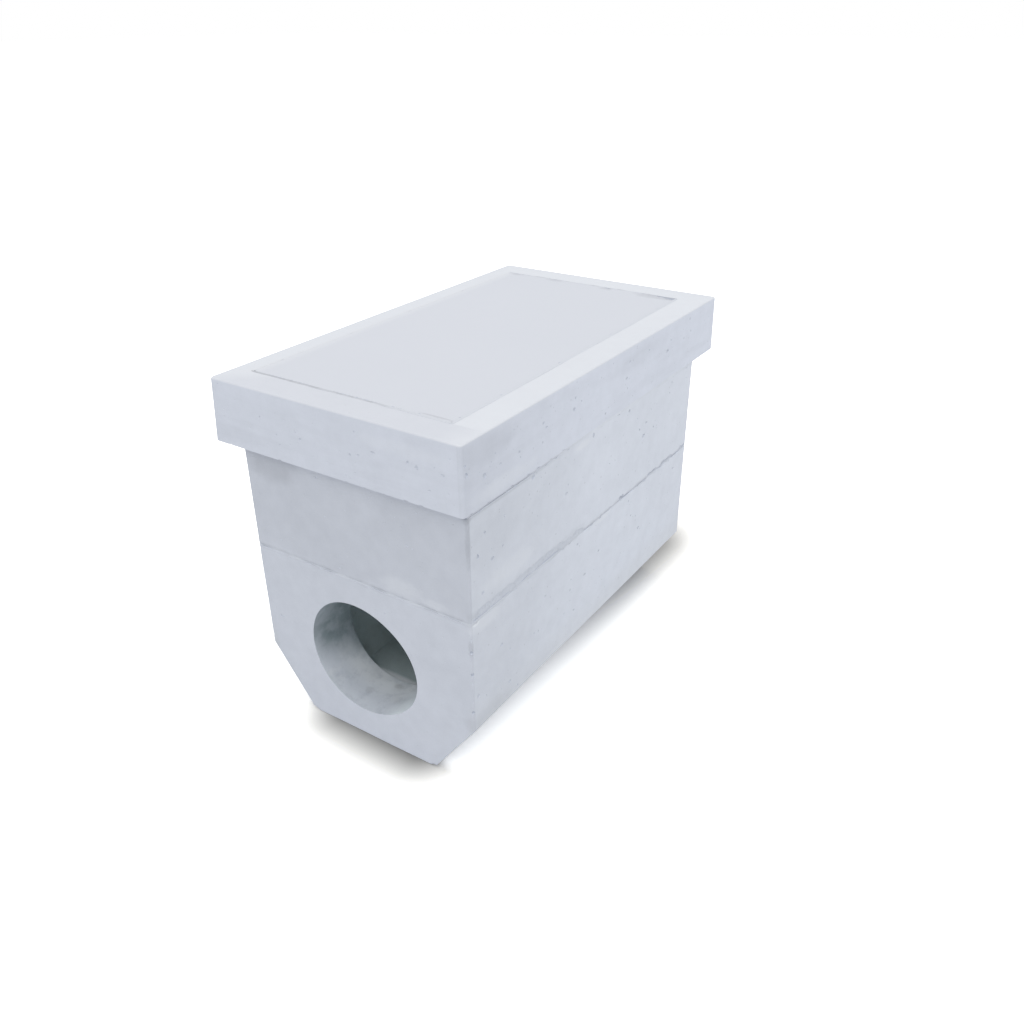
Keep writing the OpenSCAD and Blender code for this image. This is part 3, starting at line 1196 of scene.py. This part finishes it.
# %% Base: the pipe bores
def bore_core(side):
    """The core of one pipe bore, turned to lie along the pipe run."""
    middle_y = side * (RISER_HIGH.y - BASE_END_WALL / 2)
    middle_z = BORE_Z - BORE_SAG
    bpy.ops.object.select_all(action="DESELECT")
    bpy.ops.mesh.primitive_cylinder_add(
        vertices=144,
        radius=BORE_RADIUS,
        depth=BASE_END_WALL + 2 * PAST,
        location=(BORE_X, middle_y, middle_z),
        rotation=(math.pi / 2, 0, 0),
    )
    core = bpy.context.object
    core.scale = (BORE_SPREAD, BORE_SQUASH, 1.0)
    bpy.ops.object.transform_apply(location=True, rotation=True, scale=True)
    for point in core.data.vertices:
        across, rise = point.co.x - BORE_X, point.co.z - middle_z
        swell = 1 + BORE_LOBES * math.cos(3 * math.atan2(rise, across))
        point.co.x = BORE_X + across * swell
        point.co.z = middle_z + rise * swell
    core.data.materials.append(BORE_CONCRETE)
    return core


for side in (-1, 1):
    cut(base, bore_core(side))
ease_edges(base, BODY_INNER_ARRIS)
print("base cored:", len(base.data.polygons), "faces")

# %% [markdown]
# A cast face is never a true plane. Bump would leave the arrises ruled, so the base is cut into
# a grid of small faces, and its surface is sunk here and there by up to a millimetre. Then it is
# worn: holes in its four sides, nicks along its arrises, three of them given one by one on the
# near right one, and the corners of its foot rubbed off where it was dragged.

# %% Base: uneven faces
GRID = 0.030
UNEVEN = 0.0010
BODY_LUMPS = 0.16

section(base, GRID)
make_uneven(base, UNEVEN, BODY_LUMPS)
print("base grid:", len(base.data.polygons), "faces")

# %% Base: air holes and nicks
base_marks = [
    ("right", -0.415, 0.327, 0.011, 0.008),
    ("right", -0.385, 0.207, 0.011, 0.008),
    ("right", -0.505, 0.248, 0.012, 0.009),
    ("right", -0.235, 0.352, 0.010, 0.005),
    ("right", -0.050, 0.313, 0.013, 0.006),
    ("right", 0.245, 0.305, 0.014, 0.009),
    ("right", 0.450, 0.400, 0.012, 0.005),
    ("right", -0.090, 0.418, 0.009, 0.006),
    ("front", -0.262, 0.252, 0.010, 0.008),
]
base_faces = side_faces(
    Vector((RISER_LOW.x, RISER_LOW.y, SLOPE_HEIGHT)),
    Vector((RISER_HIGH.x, RISER_HIGH.y, SHOULDER_Z)),
)
base_wear = Wear(11)
for height in (0.214, 0.315, 0.372):
    spot = Vector((RISER_HIGH.x - BODY_ARRIS / 2, RISER_LOW.y + BODY_ARRIS / 2, height))
    if base_wear.finds_room(spot, 0.009):
        chip(base_wear, spot, UP, Vector((-1, -1, 0)), 0.010, 0.007, 0.0046)
base_counts = {"front": 14, "right": 70, "back": 18, "left": 70}
air_holes(base_wear, base, base_faces, base_marks, base_counts)
for side in (-1, 1):
    for end in (-1, 1):
        corner = side * RISER_HIGH.x, end * RISER_HIGH.y
        nick_arris(base_wear, (*corner, SLOPE_HEIGHT), (*corner, SHOULDER_Z), 6, 0.007)
    nick_arris(base_wear, *long_arris(side, SHOULDER_Z), 22, 0.008)
for end in (-1, 1):
    nick_arris(base_wear, *end_arris(end, SHOULDER_Z), 10, 0.006)
for side in (-1, 1):
    for end in (-1, 1):
        foot_corner = side * FOOT_HALF_WIDTH, end * RISER_HIGH.y, 0.0
        chip(base_wear, foot_corner, ALONG_X, UP, 0.030, 0.016, 0.010)
base_wear.cut_from(base)
hand_over(base, "chamber", "base_section")

# %% [markdown]
# ## The riser
# The riser is a plain rectangular shaft. A rebate round the inside of its foot laps over the
# base's upstand. Its lower right arris has broken away along half its length, where it was set
# down on the base. The break could be a few random notches, but it is one long spall: a row of
# flat lumps, melted together, is cut out of it, and four small spalls follow it.

# %% Riser: the casting
riser = block("riser_casting", RISER_LOW, RISER_HIGH, BODY_CONCRETE)
round_edges(riser, every_edge, BODY_ARRIS, segments=3)
cut(riser, shaft_core(RISER_LOW.z - PAST, RISER_HIGH.z + PAST))
rebate = Vector((SKIRT_THICKNESS, SKIRT_THICKNESS, 0))
rebate_low = RISER_LOW + rebate - Vector((0, 0, PAST))
rebate_high = Vector((RISER_HIGH.x, RISER_HIGH.y, RISER_LOW.z + SKIRT_HEIGHT)) - rebate
cut(riser, block("rebate_core", rebate_low, rebate_high, INSIDE_CONCRETE))
ease_edges(riser, BODY_INNER_ARRIS)
section(riser, GRID)
make_uneven(riser, UNEVEN, BODY_LUMPS)
print("riser cored:", len(riser.data.polygons), "faces")

# %% Riser: the broken arris
SPALL_START = -0.495
SPALL_PACE = 0.0168
SPALL_DEPTH = 0.0068
SPALL_HALF_HEIGHT = 0.026
# Where each small spall lies along the arris, its length, its height and its depth
SMALL_SPALLS = [
    (0.130, 0.026, 0.013, 0.008),
    (0.305, 0.060, 0.011, 0.006),
    (0.395, 0.080, 0.013, 0.006),
    (0.500, 0.040, 0.014, 0.006),
]

riser_wear = Wear(23)
spall_spots = []
for n in range(25):
    spot = RISER_HIGH.x + 0.004, SPALL_START + SPALL_PACE * n, RISER_LOW.z + 0.001
    reach = 0.92 + 0.12 * riser_wear.dice.random()
    fade = 1.0 if n < 20 else 0.80
    half = SPALL_DEPTH * reach * fade, 0.055, SPALL_HALF_HEIGHT * reach * fade
    spall_spots.append((spot, half))
    riser_wear.take(spot, 0.030)
riser_breaks = [ragged_break("riser_spall", spall_spots, smoothing=10)]
for along, length, high, deep in SMALL_SPALLS:
    pair = [
        ((RISER_HIGH.x + 0.002, along - length / 4, RISER_LOW.z), (deep, length / 3, high)),
        ((RISER_HIGH.x + 0.002, along + length / 4, RISER_LOW.z), (deep, length / 3, high * 0.8)),
    ]
    riser_breaks.append(ragged_break("small_spall", pair))
    riser_wear.take((RISER_HIGH.x, along, RISER_LOW.z), 0.75 * length)
print("riser breaks:", [round(spall.dimensions.y, 3) for spall in riser_breaks], "m long")

# %% Riser: air holes and nicks
riser_marks = [
    ("right", -0.290, 0.679, 0.014, 0.010),
    ("right", -0.495, 0.590, 0.008, 0.012),
    ("right", -0.445, 0.560, 0.014, 0.010),
    ("right", -0.480, 0.497, 0.011, 0.009),
    ("right", -0.150, 0.580, 0.013, 0.007),
    ("right", 0.240, 0.577, 0.015, 0.010),
    ("right", 0.250, 0.610, 0.012, 0.005),
    ("right", -0.030, 0.678, 0.008, 0.012),
    ("right", 0.150, 0.676, 0.010, 0.008),
    ("front", 0.148, 0.580, 0.007, 0.005),
]
riser_counts = {"front": 12, "right": 60, "back": 16, "left": 60}
air_holes(riser_wear, riser, side_faces(RISER_LOW, RISER_HIGH), riser_marks, riser_counts)
for height in (RISER_LOW.z, RISER_HIGH.z):
    for side in (-1, 1):
        nick_arris(riser_wear, *long_arris(side, height), 20, 0.008)
    for end in (-1, 1):
        nick_arris(riser_wear, *end_arris(end, height), 10, 0.006)
riser_wear.cut_from(riser, *riser_breaks)
hand_over(riser, "chamber", "riser_section")

# %% [markdown]
# ## The cover frame
# The frame is wider than the body and its sides lean in a little towards the top, so that the
# casting could be drawn out of its mould; its back end leans less than the rest. The pocket for
# the slab leans out by as much, and a splayed clear opening goes through the seat. The lean could
# be drawn as a section, but on a block it is one step: the top face is made smaller.

# %% Frame: the leaning block
cover_frame = block("frame_casting", FRAME_LOW, FRAME_HIGH, FRAME_CONCRETE)
lean_top(cover_frame, FRAME_HIGH.z, -FRAME_DRAFT)


def back_top_edge(first, second):
    """The edge at the back of the frame's top."""
    high_up = min(first.z, second.z) > FRAME_HIGH.z - NEAR
    return high_up and min(first.y, second.y) > FRAME_HIGH.y - 2 * FRAME_DRAFT


pick_edges(cover_frame, back_top_edge)
top_width = FRAME_HIGH.x - FRAME_LOW.x - 2 * FRAME_DRAFT
bpy.ops.transform.resize(
    value=(1 + 2 * BACK_SPREAD / top_width, 1.0, 1.0),
    center_override=((FRAME_LOW.x + FRAME_HIGH.x) / 2, FRAME_HIGH.y, FRAME_HIGH.z),
)
leave_edit()
round_edges(cover_frame, upright, FRAME_CORNER, segments=4)
round_edges(cover_frame, level_at(FRAME_HIGH.z), FRAME_ARRIS, segments=3)
print("frame outside", [round(side, 3) for side in cover_frame.dimensions])

# %% Frame: the pocket and the clear opening
gap = Vector((SLAB_GAP, SLAB_GAP, 0))
draft_less_gap = Vector((SLAB_DRAFT - SLAB_GAP, SLAB_DRAFT - SLAB_GAP, 0))
seat = Vector((SEAT_SIDE, SEAT_END, 0))
pocket_low, pocket_high = SLAB_LOW - gap, SLAB_HIGH + gap
floor_low, floor_high = SLAB_LOW + draft_less_gap, SLAB_HIGH - draft_less_gap
hatch_low, hatch_high = floor_low + seat, floor_high - seat

pocket = block("pocket_core", floor_low, floor_high + Vector((0, 0, PAST)), FRAME_CONCRETE)
lean_top(pocket, SLAB_HIGH.z + PAST, SLAB_DRAFT * (1 + PAST / (SLAB_HIGH.z - SLAB_LOW.z)))
round_edges(pocket, upright, SLAB_CORNER, segments=3)
cut(cover_frame, pocket)
hatch = splayed_core(
    "hatch_core",
    (hatch_low.x, hatch_low.y, FRAME_LOW.z - PAST),
    (hatch_high.x, hatch_high.y, SLAB_LOW.z + PAST),
    FRAME_CONCRETE,
)
cut(cover_frame, hatch)
ease_edges(cover_frame, FRAME_INNER_ARRIS)
section(cover_frame, GRID)
make_uneven(cover_frame, UNEVEN, metres=0.18)
print("frame cored:", len(cover_frame.data.polygons), "faces")

# %% Frame: air holes and nicks
frame_marks = [
    ("right", -0.520, 0.777, 0.010, 0.012),
    ("right", -0.462, 0.753, 0.013, 0.012),
    ("right", -0.408, 0.757, 0.010, 0.005),
    ("right", -0.340, 0.756, 0.009, 0.006),
    ("right", -0.247, 0.785, 0.009, 0.006),
    ("right", -0.236, 0.772, 0.010, 0.005),
    ("right", -0.120, 0.772, 0.013, 0.009),
    ("right", 0.128, 0.766, 0.012, 0.006),
    ("right", 0.352, 0.770, 0.015, 0.009),
    ("front", 0.085, 0.775, 0.012, 0.006),
    ("front", 0.173, 0.777, 0.006, 0.007),
    ("front", 0.194, 0.771, 0.010, 0.009),
    ("front", 0.257, 0.770, 0.009, 0.007),
    ("front", 0.046, 0.760, 0.007, 0.005),
    ("front", 0.024, 0.756, 0.006, 0.006),
    ("front", -0.113, 0.757, 0.006, 0.006),
]
frame_counts = {"front": 16, "right": 60, "back": 20, "left": 50}
frame_faces = side_faces(FRAME_LOW, FRAME_HIGH, FRAME_DRAFT)
frame_wear = Wear(37)
air_holes(frame_wear, cover_frame, frame_faces, frame_marks, frame_counts)
nick_round(frame_wear, FRAME_LOW, FRAME_HIGH, FRAME_LOW.z, (12, 20), 0.007)
frame_wear.cut_from(cover_frame)
hand_over(cover_frame, "chamber", "cover_frame")

# %% [markdown]
# ## The cover slab
# The slab is drafted like a plug, wider at its top, so that it lifts straight out. It was
# trowelled smooth. Its back right corner has broken off, and its edges are chipped here and
# there. It is made as the frame is, from a block whose top is made larger, and the places of the
# two breaks are taken before the nicks are scattered.

# %% Slab: the casting
draft = Vector((SLAB_DRAFT, SLAB_DRAFT, 0))
slab = block("slab_casting", SLAB_LOW + draft, SLAB_HIGH - draft, SLAB_CONCRETE)
lean_top(slab, SLAB_HIGH.z, SLAB_DRAFT)
round_edges(slab, upright, SLAB_CORNER, segments=3)
round_edges(slab, level_at(SLAB_HIGH.z), SLAB_TOP_ARRIS, segments=1)
round_edges(slab, level_at(SLAB_LOW.z), SLAB_FOOT_ARRIS, segments=1)
section(slab, spacing=0.035)
make_uneven(slab, depth=0.0002, metres=0.20)
print("slab", [round(side, 3) for side in slab.dimensions])

# %% Slab: nicks and breaks
EDGE_BREAK_X = 0.012

slab_wear = Wear(41)
slab_wear.take(SLAB_HIGH, 0.062)
slab_wear.take((EDGE_BREAK_X, SLAB_HIGH.y, SLAB_HIGH.z), 0.02)
nick_round(slab_wear, SLAB_LOW, SLAB_HIGH, SLAB_HIGH.z, (12, 7), 0.005)
corner_spots = [
    (SLAB_HIGH, (0.022, 0.020, 0.034)),
    (SLAB_HIGH - Vector((0.018, 0.0, 0.0)), (0.016, 0.013, 0.026)),
    (SLAB_HIGH - Vector((0.038, 0.0, 0.0)), (0.016, 0.008, 0.018)),
]
corner_break = ragged_break("corner_break", corner_spots)
edge_spot = EDGE_BREAK_X, SLAB_HIGH.y + 0.001, SLAB_HIGH.z
edge_break = ragged_break("edge_break", [(edge_spot, (0.010, 0.008, 0.012))])
slab_wear.cut_from(slab, corner_break, edge_break)
hand_over(slab, "cover", "cover_slab")

# %% [markdown]
# ## Mortar in the joints
# The sections are bedded on mortar, and the joints are pointed from outside. The bed itself is
# thin; its outer edge flares to fill the two rounded arrises, and it is struck nearly flush in
# some places and left hollow in others. It could be a plain strip set back from the faces, but
# the joint would look ruled. So each bed is a block with a core taken out. Its outer faces are
# extruded outward and made taller, and then sunk by a Displace modifier, whose vertex group says
# how deep at each point.

# %% Beds with a pointed edge
POINTING_FLUSH = 0.0004
POINTING_FLARE = 0.0050
POINTING_DEPTH = 0.005


def bed(name, low, high, core_low, core_high, hollow):
    """A bed with a flared outer edge. hollow gives how deep the pointing is sunk at a place."""
    piece = block(name, low, high, MORTAR)
    height = high.z - low.z
    grow = (
        (RISER_HIGH.x - POINTING_FLUSH) / high.x,
        (RISER_HIGH.y - POINTING_FLUSH) / high.y,
        (height + POINTING_FLARE) / height,
    )
    pick_faces(piece, lambda centre, normal: abs(normal.z) < 0.5)
    bpy.ops.mesh.extrude_region_move(TRANSFORM_OT_translate={"value": (0, 0, 0)})
    bpy.ops.transform.resize(value=grow, center_override=(0, 0, (low.z + high.z) / 2))
    leave_edit()
    cut(piece, block("bed_core", core_low, core_high, MORTAR))
    section(piece, spacing=0.012)
    lip = piece.vertex_groups.new(name="lip")
    for vertex in piece.data.vertices:
        if abs(vertex.co.x) > high.x + 0.001 or abs(vertex.co.y) > high.y + 0.001:
            lip.add([vertex.index], min(1.0, hollow(vertex.co) / POINTING_DEPTH), "REPLACE")
    use_modifier(piece, "DISPLACE", vertex_group="lip", strength=-POINTING_DEPTH, mid_level=0.0)
    return piece


def waver(place, first, second):
    """Two waves added up, from -2 to 2, each given by how fast it runs along X and along Y."""
    return sum(math.sin(place.x * fast_x + place.y * fast_y) for fast_x, fast_y in (first, second))


print("pointing is at most", POINTING_DEPTH * 1000, "mm deep")

# %% The lower bed
def lower_hollow(place):
    """How deep the lower joint is sunk: shallow in front, deeper along the sides."""
    depth = 0.0022 + 0.0006 * waver(place, (37, 61), (-91, 23))
    if abs(place.x) > RISER_HIGH.x - 0.01:
        depth += 0.0008 if place.y > -0.06 else -0.0010
    return depth


left, right = [side * (RISER_HIGH.x - SKIRT_THICKNESS + LAP_GAP) for side in (-1, 1)]
front, back = [end * (RISER_HIGH.y - SKIRT_THICKNESS + LAP_GAP) for end in (-1, 1)]
lower_bed = bed(
    "lower_mortar",
    LOWER_BED_LOW,
    LOWER_BED_HIGH,
    (left, front, 0),
    (right, back, 1),
    lower_hollow,
)
hand_over(lower_bed, "chamber", "lower_bedding")

# %% The upper bed
def upper_hollow(place):
    """How deep the upper joint is sunk: deep at the near right corner, flush further back."""
    near = max(0.0, min(1.0, (-0.05 - place.y) / 0.30))
    return max(0.0, 0.0002 + 0.0001 * waver(place, (41, 53), (-83, 29)) + 0.0032 * near)


upper_bed = bed(
    "upper_mortar",
    UPPER_BED_LOW,
    UPPER_BED_HIGH,
    (min(shaft_low.x, hatch_low.x), min(shaft_low.y, hatch_low.y), 0),
    (max(shaft_high.x, hatch_high.x), max(shaft_high.y, hatch_high.y), 1),
    upper_hollow,
)
hand_over(upper_bed, "chamber", "upper_bedding")

# %% [markdown]
# ## Grit in the gap
# The gap round the slab has filled with cement dust and grit. It clings to the wall of the
# pocket and stays there when the slab is lifted. It is level with the top on the long sides, a
# little lower at the left of the front, and has fallen in at places along the back. Thousands of
# grains could be scattered, but at this size they read as one rough strip: a ring that leans
# with the pocket, whose top is sunk point by point.

# %% How far the grit has fallen in
FALLEN_IN = [(-0.295, 0.030), (-0.160, 0.028), (0.010, 0.024), (0.150, 0.045), (0.205, 0.030)]
FALL = 0.0085
GRIT_HEIGHT = 0.012
GRIT_DEPTH = 0.010
GRIT_LEAN = 0.0024


def grit_level(place):
    """How far below the top the grit lies."""
    wave = waver(place, (71, 13), (31, -47))
    depth = 0.0001
    if place.y < SLAB_LOW.y and place.x < 0.09:
        depth = 0.0006 + 0.0003 * wave
    if place.y > SLAB_HIGH.y:
        depth = 0.0008 + 0.0004 * wave
        for middle, reach in FALLEN_IN:
            depth += FALL * max(0.0, 1 - ((place.x - middle) / reach) ** 2)
    return max(0.00005, min(GRIT_DEPTH, depth))


places = [Vector((middle, SLAB_HIGH.y + NEAR, 0)) for middle, reach in FALLEN_IN]
deepest = max(grit_level(place) for place in places)
print("grit falls in by up to", round(deepest * 1000, 1), "mm")

# %% Grit ring
off_wall = Vector((0.0002, 0.0002, 0))
onto_slab = Vector((0.00002, 0.00002, 0))
grit = block(
    "gap_grit",
    pocket_low + off_wall + Vector((0, 0, SLAB_HIGH.z - GRIT_HEIGHT - SLAB_LOW.z)),
    pocket_high - off_wall,
    GRIT,
)
lean_top(grit, SLAB_HIGH.z, GRIT_LEAN)
round_edges(grit, upright, SLAB_CORNER, segments=3)
grit_core = block(
    "grit_core", SLAB_LOW - onto_slab, SLAB_HIGH + onto_slab + Vector((0, 0, PAST)), GRIT
)
cut(grit, grit_core)
section(grit, spacing=0.010)
top_of_grit = grit.vertex_groups.new(name="top")
for vertex in grit.data.vertices:
    if vertex.co.z > SLAB_HIGH.z - 0.001:
        top_of_grit.add([vertex.index], grit_level(vertex.co) / GRIT_DEPTH, "REPLACE")
sunk = {"vertex_group": "top", "direction": "Z", "strength": -GRIT_DEPTH, "mid_level": 0.0}
use_modifier(grit, "DISPLACE", **sunk)
hand_over(grit, "chamber", None)

# %% Clear away what was only a tool
for shape in SHAPES:
    bpy.data.objects.remove(shape)

# %% [markdown]
# ## Floor and light
# The chamber stands on a plain pale floor under even light. The world gives a soft light from
# all round, and one wide lamp from above gives the top its brightness and the floor a shadow.
# The floor is a plain matt white. It could simply be lit until it is white, but that would bleach
# the chamber too. So, seen by the camera alone, it is brighter, and runs into the white backdrop
# with no horizon; only the shadow shows, and a soft shade painted beside and in front of the foot.

# %% Floor
FLOOR_WHITE = (0.86, 0.86, 0.86, 1.0)
SHOWN_WHITE = (1.95, 1.93, 1.86, 1.0)
PAINTED_CONTACT_SHADE = (0.235, 0.232, 0.225, 1.0)

bpy.ops.object.select_all(action="DESELECT")
bpy.ops.mesh.primitive_plane_add(size=120.0, location=(0, 0, BASE_LOW.z - 0.0005))
floor = bpy.context.object
floor.name = "floor"
floor_paint = bpy.data.materials.new("floor_paint")
floor_paint.use_nodes = True
floor_tree = floor_paint.node_tree
floor_tree.nodes.clear()
seen = Wire(floor_tree, floor_tree.nodes.new("ShaderNodeLightPath").outputs["Is Camera Ray"])
x, y, z = axes(Wire(floor_tree, floor_tree.nodes.new("ShaderNodeTexCoord").outputs["Object"]))
# The painted shade in front fades forward from the near end, and towards both sides of the bore
painted_shade_in_front = 1 - step(RISER_LOW.y - y - x * 0.045, -0.038, 0.180)
painted_shade_in_front = painted_shade_in_front * (1 - step((x - 0.0085).size(), 0.112, 0.320))
painted_shade_in_front = painted_shade_in_front * (1 - step(y, RISER_LOW.y, RISER_LOW.y + 0.040))
# The painted shade at each side fades outward from the foot, and deepens along the overhang
painted_shade_beside = 1 - step(x.size() - FOOT_HALF_WIDTH, -0.040, 0.190)
painted_shade_beside = painted_shade_beside * step(y, -0.70, 0.90) * (1 - step(y, FRAME_HIGH.y, FRAME_HIGH.y + 0.32))
shown = blend((painted_shade_in_front + painted_shade_beside).least(1.0), SHOWN_WHITE, PAINTED_CONTACT_SHADE)
matt_white = seen.add("ShaderNodeBsdfDiffuse", {}, {"Color": blend(seen, FLOOR_WHITE, shown)})
seen.add("ShaderNodeOutputMaterial", {}, {"Surface": matt_white})
floor.data.materials.append(floor_paint)
floor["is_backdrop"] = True
print("floor", floor.dimensions[:])

# %% World
SKY_LIGHT = 0.585
WHITE = (1.0, 1.0, 1.0, 1.0)

world = bpy.data.worlds.new("studio")
bpy.context.scene.world = world
world.use_nodes = True
world_tree = world.node_tree
world_tree.nodes.clear()
path = world_tree.nodes.new("ShaderNodeLightPath")
camera_ray = Wire(world_tree, path.outputs["Is Camera Ray"])
glossy_ray = Wire(world_tree, path.outputs["Is Glossy Ray"])
glass_ray = Wire(world_tree, path.outputs["Is Transmission Ray"])
sky = camera_ray.add("ShaderNodeBackground", {}, {"Color": WHITE, "Strength": SKY_LIGHT})
backdrop = camera_ray.add("ShaderNodeBackground", {}, {"Color": WHITE, "Strength": 1.0})
shown = (camera_ray + glossy_ray + glass_ray).least(1.0)
mixed = camera_ray.add("ShaderNodeMixShader", {}, {0: shown, 1: sky, 2: backdrop})
camera_ray.add("ShaderNodeOutputWorld", {}, {"Surface": mixed})
print("sky", SKY_LIGHT)

# %% Lamp
KEY_STRENGTH = 1.30
KEY_WIDTH = 55
KEY_TURN = (16, 10, 0)

key_data = bpy.data.lights.new("key", "SUN")
key_data.energy = KEY_STRENGTH
key_data.angle = math.radians(KEY_WIDTH)
key = bpy.data.objects.new("key", key_data)
key.rotation_euler = [math.radians(turn) for turn in KEY_TURN]
bpy.context.scene.collection.objects.link(key)
print("key", KEY_STRENGTH, "and", KEY_WIDTH, "degrees wide")

# %% [markdown]
# ## View and hand over
# The plain view transform shows a colour as it is written.

# %% View and hand over
bpy.context.scene.view_settings.view_transform = "Standard"

low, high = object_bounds()
print("visual size", [round(side, 4) for side in high - low])
